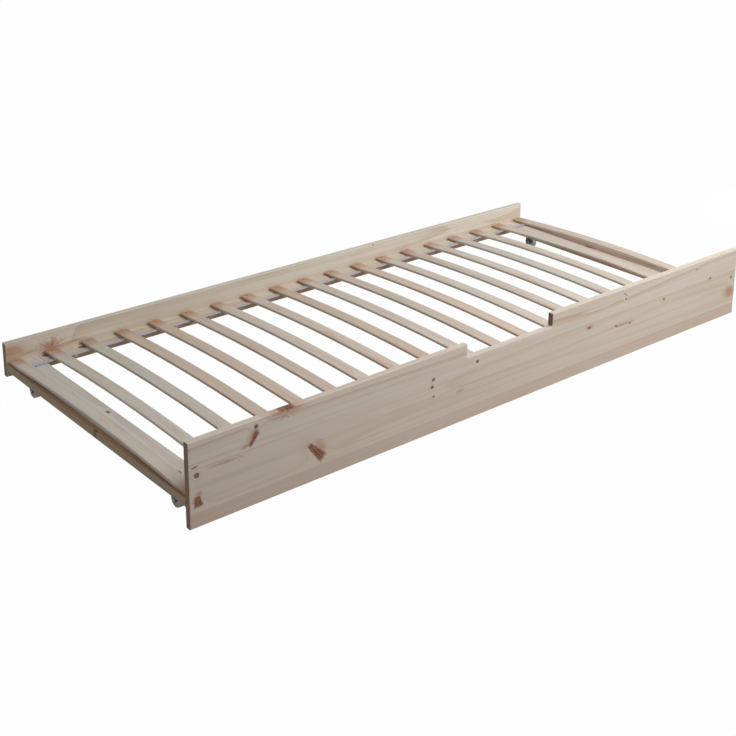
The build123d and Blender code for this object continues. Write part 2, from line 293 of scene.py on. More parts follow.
def grain_coordinates(tree, axes):
    """Object coordinates in millimetres as a vector of along the grain, across it and into the board."""
    place = put(tree, "TexCoord", output="Object")
    sides = put(tree, "SeparateXYZ", place).node.outputs
    turned = put(tree, "CombineXYZ", *[sides[axis] for axis in axes])
    return put(tree, "VectorMath", turned, (1 / MM, 1 / MM, 1 / MM), operation="MULTIPLY")


def squareness(tree, axis):
    """How squarely a face looks along an axis, either way: 0 to 1."""
    sides = put(tree, "SeparateXYZ", put(tree, "TexCoord", output="Normal")).node.outputs
    return put(tree, "Math", sides[axis], operation="ABSOLUTE")


def figure(tree, place, size, seed, detail):
    """Cloudy noise whose patches are size millimetres along, across and into the board."""
    scaled = put(tree, "VectorMath", place, [1 / s for s in size], operation="MULTIPLY")
    return put(
        tree, "TexNoise", Vector=scaled, W=seed, Scale=1.0, Detail=detail, Roughness=0.55,
        noise_dimensions="4D",
    )


def ragged(tree, place):
    """The place shifted at random by up to 3.5 mm, so that what is drawn on it gets a ragged outline."""
    reach, tear_size = 3.5, 6.25
    noise = put(tree, "TexNoise", Vector=place, Scale=1 / tear_size, Detail=3.0, output="Color")
    shift = put(
        tree, "VectorMath", noise, (2 * reach, 2 * reach, 0.0), (-reach, -reach, 0.0),
        operation="MULTIPLY_ADD",
    )
    return put(tree, "VectorMath", shift, place, operation="ADD")


def inside_ellipse(tree, place, along, across, half_length, half_width, turn=0):
    """The place as seen from an ellipse on the broad face: 0 in its middle and 1 away at its rim."""
    return put(
        tree, "Mapping", place, Location=(along, across, 0), Rotation=(0, 0, math.radians(turn)),
        Scale=(half_length, half_width, THROUGH), vector_type="TEXTURE",
    )


def marks(tree, place, ellipses):
    """Cover of marks on the broad face, and how far they push the rings aside. Each is an ellipse of
    (along, across, half length, half width, turn in degrees), in millimetres. With d the distance
    from its middle over its radius, the cover is 1 - d, and the push is 1.5 half widths times the
    bell exp(-0.22 d^2)."""
    cover, push = 0.0, 0.0
    for ellipse in ellipses:
        half_width = ellipse[3]
        inside = inside_ellipse(tree, place, *ellipse)
        square = put(tree, "VectorMath", inside, inside, operation="DOT_PRODUCT")
        falling = put(tree, "Math", square, -0.22, operation="MULTIPLY")
        bell = put(tree, "Math", falling, operation="EXPONENT")
        push = put(tree, "Math", bell, 1.5 * half_width, push, operation="MULTIPLY_ADD")
        distance = put(tree, "Math", square, operation="SQRT")
        spot = put(tree, "Math", 1.0, distance, operation="SUBTRACT", use_clamp=True)
        cover = put(tree, "Math", spot, cover, operation="MAXIMUM")
    return cover, push


def red_knots(tree, place, bands):
    """Cover of resinous spike knots, cut along their length, and where their grain is dark. Each is an
    oblong of (along, across, half length, half width, turn in degrees), in millimetres, that widens
    from 0.5 to 1.1 of its width. The cover falls from 1 to 0 close to the rim, max(|x|, |y|) = 1. The
    grain runs lengthwise, as noise on (x, 4 y), and is darkest along both long edges."""
    cover, dark = 0.0, 0.0
    for band in bands:
        inside = inside_ellipse(tree, place, *band)
        x, y, _ = put(tree, "SeparateXYZ", inside).node.outputs
        width = put(tree, "Math", x, 0.3, 0.8, operation="MULTIPLY_ADD")
        x = put(tree, "Math", x, operation="ABSOLUTE")
        y = put(tree, "Math", y, operation="ABSOLUTE")
        y = put(tree, "Math", y, width, operation="DIVIDE")
        edge = put(tree, "Math", x, y, 0.4, operation="SMOOTH_MAX")
        spot = put(tree, "Math", edge, -3.0, 3.2, operation="MULTIPLY_ADD", use_clamp=True)
        stretched = put(tree, "VectorMath", inside, (1.0, 4.0, 0.0), operation="MULTIPLY")
        stripes = put(tree, "TexNoise", Vector=stretched, Scale=0.8, Detail=2.0)
        stripes = put(tree, "ValToRGB", stripes, stops=((0.42, 0.0), (0.62, 0.8)))
        rim = put(tree, "ValToRGB", y, stops=((0.55, 0.0), (0.9, 0.9)))
        depth = put(tree, "Math", stripes, rim, operation="MAXIMUM")
        depth = put(tree, "Math", depth, spot, operation="MULTIPLY")
        dark = put(tree, "Math", depth, dark, operation="MAXIMUM")
        cover = put(tree, "Math", spot, cover, operation="MAXIMUM")
    return cover, dark


def fans(tree, place, ellipses):
    """Cover of branches cut along their length, seen as lines that spread from a middle. Each is an
    ellipse of (along, across, half length, half width), in millimetres. The lines are noise on the
    angle round its middle, atan2(x, y), and fade as 1.8 (1 - d), with d the distance from the middle
    over the radius."""
    cover = 0.0
    for ellipse in ellipses:
        inside = inside_ellipse(tree, place, *ellipse)
        x, y, _ = put(tree, "SeparateXYZ", inside).node.outputs
        angle = put(tree, "Math", x, y, operation="ARCTAN2")
        lines = put(tree, "TexNoise", W=angle, Scale=4.5, Detail=1.0, noise_dimensions="1D")
        lines = put(tree, "ValToRGB", lines, stops=((0.47, 0.0), (0.60, 1.0)))
        distance = put(tree, "VectorMath", inside, operation="LENGTH")
        spot = put(tree, "Math", distance, -1.8, 1.8, operation="MULTIPLY_ADD", use_clamp=True)
        lines = put(tree, "Math", lines, spot, operation="MULTIPLY")
        cover = put(tree, "Math", lines, cover, operation="MAXIMUM")
    return cover


def straightened(tree, place, row):
    """The place on a slat of the row, and that slat's number. Across, the place counts from the slat's
    own middle; its level counts from the bowed underside, seat + bow (1 - share^2), where share is the
    distance from the slat's middle over its half length."""
    first, pitch, half_length, seat, bow = row
    u, v, w = put(tree, "SeparateXYZ", place).node.outputs
    steps = put(tree, "Math", v, -first, operation="ADD")
    steps = put(tree, "Math", steps, pitch, operation="DIVIDE")
    number = put(tree, "Math", steps, operation="ROUND")
    v = put(tree, "Math", steps, number, operation="SUBTRACT")
    v = put(tree, "Math", v, pitch, operation="MULTIPLY")
    share = put(tree, "Math", u, half_length, operation="DIVIDE")
    share = put(tree, "Math", share, share, operation="MULTIPLY")
    w = put(tree, "Math", share, bow, w, operation="MULTIPLY_ADD")
    w = put(tree, "Math", w, seat + bow, operation="SUBTRACT")
    return put(tree, "CombineXYZ", u, v, w), number


def pith_distance(tree, place, seeds, chances, pith):
    """Distance to the pith, which lies somewhere else in each stave, bent by slow and quick waves."""
    scatter_across, scatter_down = 90.0, 40.0
    slow_reach, quick_reach = 22.0, 2.0
    _, v, w = put(tree, "SeparateXYZ", place).node.outputs
    v = put(tree, "Math", chances[0], scatter_across, v, operation="MULTIPLY_ADD")
    v = put(tree, "Math", v, scatter_across / 2 + pith[0], operation="SUBTRACT")
    w = put(tree, "Math", chances[1], scatter_down, w, operation="MULTIPLY_ADD")
    w = put(tree, "Math", w, pith[1] - scatter_down / 2, operation="ADD")
    radius = put(tree, "VectorMath", put(tree, "CombineXYZ", v, w), operation="LENGTH")
    slow = figure(tree, place, SLOW_BEND, seeds, 1.0)
    quick = figure(tree, place, QUICK_BEND, seeds, 2.0)
    radius = put(tree, "Math", slow, slow_reach, radius, operation="MULTIPLY_ADD")
    return put(tree, "Math", quick, quick_reach, radius, operation="MULTIPLY_ADD")


def year_lines(tree, radius, spacing, seeds):
    """Share of late wood through each year, and the same times a strength that each year has of its
    own, 0.1 + 0.5 chance^3, so that a few lines stand out."""
    years = put(tree, "Math", radius, spacing, operation="DIVIDE")
    season = put(tree, "Math", years, operation="FRACT")
    late = put(
        tree, "ValToRGB", season,
        stops=((0.0, 0.2), (0.12, 0.0), (0.55, 0.12), (0.86, 0.8), (0.95, 1.0), (1.0, 0.2)),
    )
    year = put(tree, "Math", years, operation="FLOOR")
    year = put(tree, "Math", year, seeds, operation="ADD")
    strength = put(tree, "TexWhiteNoise", W=year, noise_dimensions="1D", output="Value")
    strength = put(tree, "Math", strength, 3.0, operation="POWER")
    strength = put(tree, "Math", strength, 0.50, 0.10, operation="MULTIPLY_ADD")
    return late, put(tree, "Math", late, strength, operation="MULTIPLY")


def ground_colour(tree, look, beyond, tones, number):
    """Colour of the early wood: each slat's by its kind, else each stave's, else the plain pale one."""
    if number is not None:
        kinds = {"c": look.cool_slat, "n": look.plain_slat, "w": look.warm_slat, "p": look.pink_slat}
        count = len(SLATS)
        place_in_row = put(tree, "Math", number, 1 / count, 0.5 / count, operation="MULTIPLY_ADD")
        stops = tuple((i / count, kinds[letter]) for i, letter in enumerate(SLAT_KINDS))
        ground = put(tree, "ValToRGB", place_in_row, stops=stops)
        ground.node.color_ramp.interpolation = "CONSTANT"
        return ground
    ground = linear(tones[0] if tones else look.pale)
    for step, tone in zip(beyond, tones[1:]):
        ground = put(tree, "Mix", step, ground, linear(tone), data_type="RGBA")
    return ground


def drawn_out(tree, colour, look, place, seeds):
    """Bands of late wood, streaks of heartwood and blotches of sapwood, all drawn out along the board.
    Each layer shows from a low level of its noise and is strongest from a high one."""
    layers = (
        (BAND, 0.0, 3.0, 0.50, 0.78, 0.35, look.late),
        (STREAK, 77.0, 2.0, 0.58, 0.76, 0.40, look.heart),
        (BLOTCH, 31.0, 2.0, 0.50, 0.75, 0.35, look.sap),
    )
    for size, own_seed, detail, low, high, strongest, tint in layers:
        seed = put(tree, "Math", seeds, own_seed, operation="ADD")
        share = figure(tree, place, size, seed, detail)
        share = put(tree, "ValToRGB", share, stops=((low, 0.0), (high, strongest)))
        colour = put(tree, "Mix", share, colour, linear(tint), data_type="RGBA")
    return colour


def slat_tints_and_end_shade(tree, colour, look, place, seeds, half_length, side_axis):
    """Patches of heartwood and sapwood on the slats, a painted warm shade at the ends, and painted shade
    darkening the side faces at those ends.
    """
    patch = figure(tree, place, SLAT_PATCH, put(tree, "Math", seeds, 53.0, operation="ADD"), 3.0)
    warm = put(tree, "ValToRGB", patch, stops=((0.54, 0.0), (0.72, 0.55)))
    colour = put(tree, "Mix", warm, colour, linear(look.heart), data_type="RGBA")
    pale = put(tree, "ValToRGB", patch, stops=((0.28, 0.6), (0.44, 0.0)))
    colour = put(tree, "Mix", pale, colour, linear(look.sap), data_type="RGBA")
    along = put(tree, "SeparateXYZ", place)
    reach = put(tree, "Math", along, operation="ABSOLUTE")
    reach = put(tree, "Math", reach, half_length, operation="DIVIDE")
    # Painted warm shade: towards both ends each slat is tinted to the flame colour, for the warm shade that
    # the boards give there.
    warm_end_shade = put(tree, "ValToRGB", reach, stops=((0.87, 0.0), (0.93, 0.5), (0.98, 0.75)))
    colour = put(tree, "Mix", warm_end_shade, colour, linear(look.flame), data_type="RGBA")
    # Painted shade: near the ends the side faces are darkened to the knot colour.
    side = put(tree, "ValToRGB", squareness(tree, side_axis), stops=((0.8, 0.0), (0.95, 0.8)))
    side = put(tree, "Math", side, warm_end_shade, operation="MULTIPLY")
    return put(tree, "Mix", side, colour, linear(look.knot), data_type="RGBA")


def warm_marks(tree, colour, look, place, fibre, flames, branches):
    """Soft flames of heartwood, broken up by the fibres, and the fans of cut branches."""
    if flames:
        cover, _ = marks(tree, place, flames)
        flame = put(tree, "ValToRGB", cover, stops=((0.0, 0.0), (0.8, 0.8)))
        flame = put(tree, "Math", flame, fibre, operation="MULTIPLY")
        flame = put(tree, "Math", flame, 1.6, operation="MULTIPLY", use_clamp=True)
        colour = put(tree, "Mix", flame, colour, linear(look.flame), data_type="RGBA")
    if branches:
        branch = put(tree, "Math", fans(tree, place, branches), 0.75, operation="MULTIPLY")
        colour = put(tree, "Mix", branch, colour, linear(look.red_knot), data_type="RGBA")
    return colour


def pin_knots(tree, colour, look, cover):
    """Sound round knots: fine rings with a dark rim of bark."""
    rings = put(tree, "Math", cover, 4.0, operation="MULTIPLY")
    rings = put(tree, "Math", rings, operation="FRACT")
    rings = put(tree, "Math", rings, 0.3, operation="MULTIPLY")
    core = put(tree, "Mix", rings, linear(look.knot), linear(look.knot_rim), data_type="RGBA")
    rim = put(tree, "ValToRGB", cover, stops=((0.0, 0.0), (0.15, 0.8), (0.35, 0.5), (0.6, 0.0)))
    core = put(tree, "Mix", rim, core, linear(look.knot_rim), data_type="RGBA")
    shown = put(tree, "ValToRGB", cover, stops=((0.0, 0.0), (0.25, 0.9)))
    return put(tree, "Mix", shown, colour, core, data_type="RGBA")


def spike_knots(tree, colour, look, place, spikes):
    """Resinous spike knots, darkest where their own grain is."""
    cover, dark = red_knots(tree, place, spikes)
    core = put(tree, "Mix", dark, linear(look.red_knot), linear(look.knot_rim), data_type="RGBA")
    return put(tree, "Mix", cover, colour, core, data_type="RGBA")


def sawn_ends(tree, colour, look, late, grain_axis):
    """End grain: the fibres stand on end, so the wood looks darker, and its late wood darker still."""
    sawn = put(tree, "Math", squareness(tree, grain_axis), 0.8, operation="GREATER_THAN")
    ring_share = put(tree, "Math", late, 0.5, operation="MULTIPLY")
    ends = put(tree, "Mix", ring_share, linear(look.end_grain), linear(look.knot), data_type="RGBA")
    return put(tree, "Mix", sawn, colour, ends, data_type="RGBA")


def pine(
    name, axes, seed, knots=(), spikes=(), flames=(), swirls=(), branches=(), seams=(), tones=(),
    pith=(0.0, 45.0), slats=None,
):
    """Raw planed pine, glued from staves: matt, with thin darker lines of late wood. The rings are
    circles round a pith that each stave has somewhere else, so a face shows long lines and arches
    and an end shows arcs; each year has a strength of its own. seams are the staves' glue lines
    across the face, tones their ground colours, and pith its middle place across and below the face.
    flames are soft streaks of heartwood, swirls are places that only bend the rings, branches are the
    fans of cut branches, and slats holds the first slat's middle, their pitch, half length, seat
    height and bow, for slats that share one material."""
    look = bpy.context.scene.trundle_pine
    material, tree, shader = start_material(name)
    place = grain_coordinates(tree, axes)
    stave = seed
    number = None
    if slats:
        place, number = straightened(tree, place, slats)
        stave = put(tree, "Math", number, seed, operation="ADD")
    across = put(tree, "SeparateXYZ", place).node.outputs["Y"]
    beyond = [put(tree, "Math", across, seam, operation="GREATER_THAN") for seam in seams]
    for step in beyond:
        stave = put(tree, "Math", step, stave, operation="ADD")
    chance = put(tree, "TexWhiteNoise", W=stave, noise_dimensions="1D", output="Color")
    chances = put(tree, "SeparateColor", chance).node.outputs
    seeds = put(tree, "Math", stave, SEED_STEP, operation="MULTIPLY")

    # The rings bend round knots, spike knots and swirls, and flames and fans only colour them
    knot_bend, spike_bend = 0.6, 0.25
    knot_cover, knot_push = marks(tree, place, knots)
    _, spike_push = marks(tree, place, spikes)
    _, swirl_push = marks(tree, place, swirls)
    radius = pith_distance(tree, place, seeds, chances, pith)
    radius = put(tree, "Math", knot_push, knot_bend, radius, operation="MULTIPLY_ADD")
    radius = put(tree, "Math", spike_push, spike_bend, radius, operation="MULTIPLY_ADD")
    radius = put(tree, "Math", radius, swirl_push, operation="ADD")
    late, line = year_lines(tree, radius, look.ring_spacing, seeds)
    fibre = figure(tree, place, FIBRE, seeds, 3.0)

    ground = ground_colour(tree, look, beyond, tones, number)
    colour = put(tree, "Mix", line, ground, linear(look.late), data_type="RGBA")
    colour = drawn_out(tree, colour, look, place, seeds)
    torn_place = ragged(tree, place)
    colour = warm_marks(tree, colour, look, torn_place, fibre, flames, branches)
    if slats:
        half_length = slats[2]
        colour = slat_tints_and_end_shade(tree, colour, look, place, seeds, half_length, axes[1])

    # Staves and fibres differ a little in tone
    tone = put(tree, "Math", chances[2], 0.06, 0.90, operation="MULTIPLY_ADD")
    tone = put(tree, "Math", fibre, 0.12, tone, operation="MULTIPLY_ADD")
    tone = put(tree, "CombineColor", tone, tone, tone)
    colour = put(tree, "Mix", 1.0, colour, tone, data_type="RGBA", blend_type="MULTIPLY")

    if knots:
        colour = pin_knots(tree, colour, look, knot_cover)
    if spikes:
        colour = spike_knots(tree, colour, look, torn_place, spikes)
    colour = sawn_ends(tree, colour, look, late, axes[0])

    tree.links.new(colour, shader.inputs["Base Color"])
    shader.inputs["Roughness"].default_value = look.roughness
    shader.inputs["Specular IOR Level"].default_value = 0.35
    relief = put(tree, "Math", line, 0.5, fibre, operation="MULTIPLY_ADD")
    bump = put(tree, "Bump", Height=relief, Strength=0.18, Distance=0.12 * MM)
    tree.links.new(bump, shader.inputs["Normal"])
    return material


def front_board_pine():
    """Three staves, with every mark at its place along the board and up it, in millimetres."""
    return pine(
        "Glued pine front board", UPRIGHT_BOARD, 3.0, seams=(40, 149), pith=(100, 45),
        tones=("D8C5B7", "E4D5C5", "E5D9CB"),
        knots=(
            (-979, 132, 8, 7.5, 0),
            (-984, 153, 10, 2.2, 8),
            (-819, 199, 6.5, 6, 0),
            (-277, 152, 7, 4.5, 15),
            (-281, 132, 6, 5, 0),
            (-276, 105, 5, 3, 15),
            (-123, 158, 6, 5, 0),
            (313, 135, 6.5, 5, 0),
            (462, 199, 4, 2.6, 0),
            (470, 194, 3, 2.4, 0),
            (468, 182, 4, 4, 0),
            (431, 109, 9, 2.4, -12),
            (493, 101, 8, 2.4, 12),
            (645, 137, 4.6, 4.2, 0),
            (797, 196, 3.6, 3.6, 0),
            (867, 150, 7, 3.6, 10),
            (978, 127, 5.5, 6, 0),
        ),
        spikes=(
            (-826, 171, 22, 8, 55),
            (-650, 79, 35, 13, -48),
            (-978, 67, 15, 13, -82),
            (-732, 217, 24, 6, 0),
        ),
        flames=(
            (-900, 139, 60, 5, 0),
            (-846, 160, 24, 8, 20),
            (-975, 86, 12, 9, 0),
            (-638, 86, 30, 20, -48),
            (-735, 213, 80, 13, 0),
            (-183, 93, 16, 7, 0),
            (972, 82, 40, 26, 0),
            (978, 80, 22, 16, 0),
            (-830, 180, 30, 12, 50),
            (-981, 70, 14, 16, 0),
            (462, 106, 70, 6, 0),
            (318, 135, 22, 9, 0),
        ),
        branches=((-735, 205, 55, 16), (976, 78, 26, 20)),
    )


def back_board_pine():
    """Two staves, with the fan of a cut branch near the left end."""
    return pine(
        "Glued pine back board", UPRIGHT_BOARD, 11.0, seams=(87,), pith=(85, 45),
        tones=("E2D5C5", "E9E2D4"),
        knots=((297, 131, 4, 2, 0),),
        swirls=((-872, 92, 22, 18, 0),),
        flames=(
            (-868, 92, 40, 22, 0),
            (-1000, 104, 95, 34, 0),
            (-940, 92, 60, 8, 0),
            (-800, 88, 50, 6, 0),
        ),
        branches=((-866, 86, 58, 36),),
    )


def left_end_pine():
    """An olive outer face, whose darkness is painted shade, as that face looks away from the light; a
    reddish strip along the top's outer edge, partly the wood's figure and partly painted warm reflected
    light in the shade of the first slat; and a greyish top.
    """
    outer_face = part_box("end_board_left")[0].x / MM
    skin, shaded_strip = 0.4, 16.0
    return pine(
        "Pine left end board", CROSS_BOARD, 21.0, pith=(-950, 45),
        seams=(outer_face + skin, outer_face + shaded_strip),
        # Painted shade: the outer face's tone is darkened for the shade it lies in, and the outer strip's
        # reddish tone stands partly for warm reflected light under the first slat.
        tones=("AC9D7C", "C9A283", "E4E1DC"),
        knots=((27, -925, 9, 5, 0), (-342, -947, 10, 5, 0), (-43, -999, 9, 7, 0)),
    )


def right_end_pine():
    """A rusty inner face and a pale top with two warm streaks and a spindle-shaped knot."""
    inner_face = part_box("end_board_right")[0].x / MM
    skin = 0.6
    return pine(
        "Pine right end board", CROSS_BOARD, 29.0, seams=(inner_face + skin,), pith=(955, 45),
        tones=("C79C7C", "EADDD0"),
        spikes=((84, 962, 24, 7, 0),),
        flames=((60, 962, 330, 9, 0), (-150, 985, 260, 6, 0)),
    )


def back_ledger_pine():
    """A warm inner edge and a pale top, with two knots near the left end and one past the middle."""
    inner_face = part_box("ledger_back")[0].y / MM
    skin = 2.0
    return pine(
        "Pine back ledger", FLAT_BOARD, 41.0, seams=(inner_face + skin,), pith=(430, 45),
        tones=("E6BE98", "E2D9C8"),
        knots=((-888, 440, 14, 11, 0), (-786, 428, 13, 9, 0), (214, 428, 10, 6, 0)),
    )


def front_ledger_pine():
    """One pale stave with two small knots."""
    return pine(
        "Pine front ledger", FLAT_BOARD, 47.0, pith=(-430, 45),
        knots=((-420, -428, 9, 5, 0), (505, -437, 8, 4, 0)),
    )


def slat_pine():
    """One material for the whole row of slats, which gives each its own figure and tone."""
    low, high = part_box(SLATS[0])
    last_low, last_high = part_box(SLATS[-1])
    first = (low.x + high.x) / 2 / MM
    pitch = ((last_low.x + last_high.x) / 2 / MM - first) / (len(SLATS) - 1)
    seat = low.z / MM
    bow = (high.z - low.z) / MM - SLAT_THICKNESS
    return pine("Pine slat", CROSS_BOARD, 60.0, slats=(first, pitch, high.y / MM, seat, bow))


class TRUNDLE_OT_boards(bpy.types.Operator):
    """Raw pine on the side boards and the end boards"""

    bl_idname = "trundle.boards"
    bl_label = "Boards"

    def execute(self, context):
        finish_node("front_board", front_board_pine())
        finish_node("back_board", back_board_pine())
        finish_node("end_board_left", left_end_pine())
        finish_node("end_board_right", right_end_pine())
        return {"FINISHED"}


class TRUNDLE_OT_ledgers(bpy.types.Operator):
    """Raw pine on the two ledgers"""

    bl_idname = "trundle.ledgers"
    bl_label = "Ledgers"

    def execute(self, context):
        finish_node("ledger_back", back_ledger_pine())
        finish_node("ledger_front", front_ledger_pine())
        return {"FINISHED"}


class TRUNDLE_OT_slats(bpy.types.Operator):
    """Raw pine on the bowed slats, each with a figure of its own"""

    bl_idname = "trundle.slats"
    bl_label = "Slats"

    def execute(self, context):
        material = slat_pine()
        for name in SLATS:
            finish_node(name, material)
        return {"FINISHED"}


# ------------------------------------------------------------------ webbing
def webbing_material():
    """Woven polypropylene webbing: cross ribs of soft yarn, a little shiny. The weave is a sine along
    the band, the ribs, and its product with a sine across it, the warp. Its yarns are under a
    millimetre wide, too fine to show, so ribs, warp and fuzz are drawn coarser."""
    look = bpy.context.scene.trundle_strap
    warp_spacing, fuzz_size = 1.5, 5 / 3
    material, tree, shader = start_material("Woven polypropylene webbing")
    place = put(tree, "UVMap", uv_map="UVMap")
    along, across, _ = put(tree, "SeparateXYZ", place).node.outputs
    rib = put(tree, "Math", along, 2 * math.pi / look.rib_spacing, operation="MULTIPLY")
    rib = put(tree, "Math", rib, operation="SINE")
    warp = put(tree, "Math", across, 2 * math.pi / warp_spacing, operation="MULTIPLY")
    warp = put(tree, "Math", warp, operation="SINE")
    crossing = put(tree, "Math", rib, warp, operation="MULTIPLY")
    weave = put(tree, "Math", rib, 0.25, 0.5, operation="MULTIPLY_ADD")
    weave = put(tree, "Math", crossing, 0.25, weave, operation="MULTIPLY_ADD")
    fuzz = put(tree, "TexNoise", Vector=place, Scale=1 / fuzz_size, Detail=3.0)
    shade = put(tree, "Math", fuzz, 0.4, weave, operation="MULTIPLY_ADD")
    # Painted shade: the grooves between the ribs are darkened to the groove colour.
    shade = put(tree, "ValToRGB", shade, stops=((0.3, 0.0), (0.8, 1.0)))
    colour = put(tree, "Mix", shade, linear(look.groove_shade), linear(look.colour), data_type="RGBA")
    tree.links.new(colour, shader.inputs["Base Color"])
    shader.inputs["Roughness"].default_value = 0.55
    shader.inputs["Sheen Weight"].default_value = 0.2
    bump = put(tree, "Bump", Height=weave, Strength=0.6, Distance=0.3 * MM)
    tree.links.new(bump, shader.inputs["Normal"])
    return material


def strap_mesh(low, high, thickness, sag, side):
    """Webbing carried along the bed. Its section is a flat loop: across, the sign of the cosine times
    its size to the power 0.35, so that the edges are blunt, and up, the sine. Its level is flat under
    each slat and dips by half a sine wave between two. It tilts so that its outer edge is lower, as
    the slats' undersides are."""
    flat_steps, dip_steps, loop_steps = 4, 12, 28
    bluntness, edge_gap, thinning = 0.35, 0.1 * MM, 0.92
    stops = np.array([(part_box(n)[0].x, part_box(n)[1].x) for n in SLATS])
    stops[0, 0], stops[-1, 1] = low.x, high.x
    under = np.linspace(stops[:, 0], stops[:, 1], flat_steps, axis=1)
    share = np.arange(1, dip_steps) / dip_steps
    between = stops[:-1, 1:] + (stops[1:, :1] - stops[:-1, 1:]) * share
    x = np.concatenate([np.hstack([under[:-1], between]).ravel(), under[-1]])
    dips = np.hstack([np.zeros_like(under[:-1]), np.broadcast_to(np.sin(np.pi * share), between.shape)])
    dip = np.concatenate([dips.ravel(), np.zeros(flat_steps)])
    width = high.y - low.y
    rise = (high.z - low.z) - thickness - sag
    level = high.z - rise - thickness / 2
    turns = np.linspace(0, 2 * np.pi, loop_steps, endpoint=False)
    across = np.sign(np.cos(turns)) * np.abs(np.cos(turns)) ** bluntness * (width / 2 - edge_gap)
    up = np.sin(turns) * (thickness / 2) * thinning
    tilt = -side * rise / width * (across - side * width / 2)
    grid_z = level - sag * dip[:, None] + (up + tilt)[None]
    grid_x = np.broadcast_to(x[:, None], grid_z.shape)
    grid_y = np.broadcast_to((low.y + high.y) / 2 + across, grid_z.shape)
    verts = np.stack([grid_x, grid_y, grid_z], -1).reshape(-1, 3)
    i, j = np.meshgrid(np.arange(len(x) - 1), np.arange(loop_steps), indexing="ij")
    k = (j + 1) % loop_steps
    corners = ((i, j), (i, k), (i + 1, k), (i + 1, j))
    faces = np.stack([row * loop_steps + column for row, column in corners], -1)
    length = np.concatenate([[0], np.cumsum(np.hypot(np.diff(x), np.diff(sag * dip)))])
    loop = np.hypot(np.diff(np.append(across, across[0])), np.diff(np.append(up, up[0])))
    around = np.concatenate([[0], np.cumsum(loop)])
    unrolled = ((i, j), (i, j + 1), (i + 1, j + 1), (i + 1, j))
    uv = np.stack([np.stack([length[row], around[column]], -1) for row, column in unrolled], -2)
    return verts, faces.reshape(-1, 4), uv.reshape(-1, 2) / MM


class TRUNDLE_OT_straps(bpy.types.Operator):
    """Woven straps that hang a little between the slats"""

    bl_idname = "trundle.straps"
    bl_label = "Straps"

    def execute(self, context):
        look = context.scene.trundle_strap
        material = webbing_material()
        for side_name, side in (("front", -1), ("back", 1)):
            strap = f"strap_{side_name}"
            low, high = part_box(strap)
            verts, faces, uv = strap_mesh(low, high, look.thickness, look.sag, side)
            new_piece(f"webbing_{side_name}", verts, faces, uv, material, "root", strap)
        return {"FINISHED"}


# ------------------------------------------------------------------ casters
def coated_steel():
    """Pressed steel under a thin dark coat: dull, with the coat rubbed pale on some patches. The coat's
    grain is a few tenths of a millimetre, too fine to show, so it is drawn coarser."""
    grain_size, rub_size = 2.38 * MM, 16.7 * MM
    look = bpy.context.scene.trundle_caster
    material, tree, shader = start_material("Black coated pressed steel")
    place = put(tree, "TexCoord", output="Object")
    grain = put(tree, "TexNoise", Vector=place, Scale=1 / grain_size, Detail=4.0)
    wear = put(tree, "TexNoise", Vector=place, Scale=1 / rub_size, Detail=5.0)
    rubbed = put(tree, "ValToRGB", wear, stops=((0.58, 0.0), (0.74, 0.6)))
    colour = put(tree, "Mix", rubbed, linear(look.fork_colour), linear(look.edge_colour), data_type="RGBA")
    tree.links.new(colour, shader.inputs["Base Color"])
    rough = put(tree, "Math", grain, 0.2, 0.38, operation="MULTIPLY_ADD")
    tree.links.new(rough, shader.inputs["Roughness"])
    bump = put(tree, "Bump", Height=grain, Strength=0.15, Distance=0.1 * MM)
    tree.links.new(bump, shader.inputs["Normal"])
    return material


def bare_steel(name, dark, bright, roughness):
    """Steel under a thin layer of zinc, or bare: a real metal with a cloudy tone. The clouds of a dipped
    or plated layer are under a millimetre, too fine to show, so they are drawn coarser."""
    cloud_size = 3.85 * MM
    material, tree, shader = start_material(name)
    place = put(tree, "TexCoord", output="Object")
    cloud = put(tree, "TexNoise", Vector=place, Scale=1 / cloud_size, Detail=4.0)
    colour = put(tree, "ValToRGB", cloud, stops=((0.35, dark), (0.7, bright)))
    tree.links.new(colour, shader.inputs["Base Color"])
    shader.inputs["Metallic"].default_value = 1.0
    rough = put(tree, "Math", cloud, 0.15, roughness, operation="MULTIPLY_ADD")
    tree.links.new(rough, shader.inputs["Roughness"])
    return material


def moulded_plastic():
    """Moulded polyamide of a caster wheel: even grey and satin, a little cloudy, with fine scuffs."""
    cloud_size, scuff_size = 11.1 * MM, 1.43 * MM
    look = bpy.context.scene.trundle_caster
    material, tree, shader = start_material("Moulded grey polyamide")
    place = put(tree, "TexCoord", output="Object")
    cloud = put(tree, "TexNoise", Vector=place, Scale=1 / cloud_size, Detail=4.0)
    scuff = put(tree, "TexNoise", Vector=place, Scale=1 / scuff_size, Detail=3.0)
    tone = put(tree, "Math", cloud, 0.16, 0.9, operation="MULTIPLY_ADD")
    tone = put(tree, "CombineColor", tone, tone, tone)
    colour = put(tree, "Mix", 1.0, linear(look.wheel_colour), tone, data_type="RGBA", blend_type="MULTIPLY")
    tree.links.new(colour, shader.inputs["Base Color"])
    rough = put(tree, "Math", scuff, 0.22, 0.36, operation="MULTIPLY_ADD")
    tree.links.new(rough, shader.inputs["Roughness"])
    bump = put(tree, "Bump", Height=scuff, Strength=0.12, Distance=0.08 * MM)
    tree.links.new(bump, shader.inputs["Normal"])
    return material


class TRUNDLE_OT_casters(bpy.types.Operator):
    """Finishes of the forks, axles and wheels"""

    bl_idname = "trundle.casters"
    bl_label = "Casters"

    def execute(self, context):
        fork, plastic = coated_steel(), moulded_plastic()
        rivet = bare_steel("Rivet steel", "55565A", "7D7E82", 0.3)
        for place in PLACES:
            finish_node(f"caster_bracket_{place}", fork)
            finish_node(f"caster_wheel_{place}", plastic)
            finish_node(f"caster_axle_{place}", rivet)
        return {"FINISHED"}


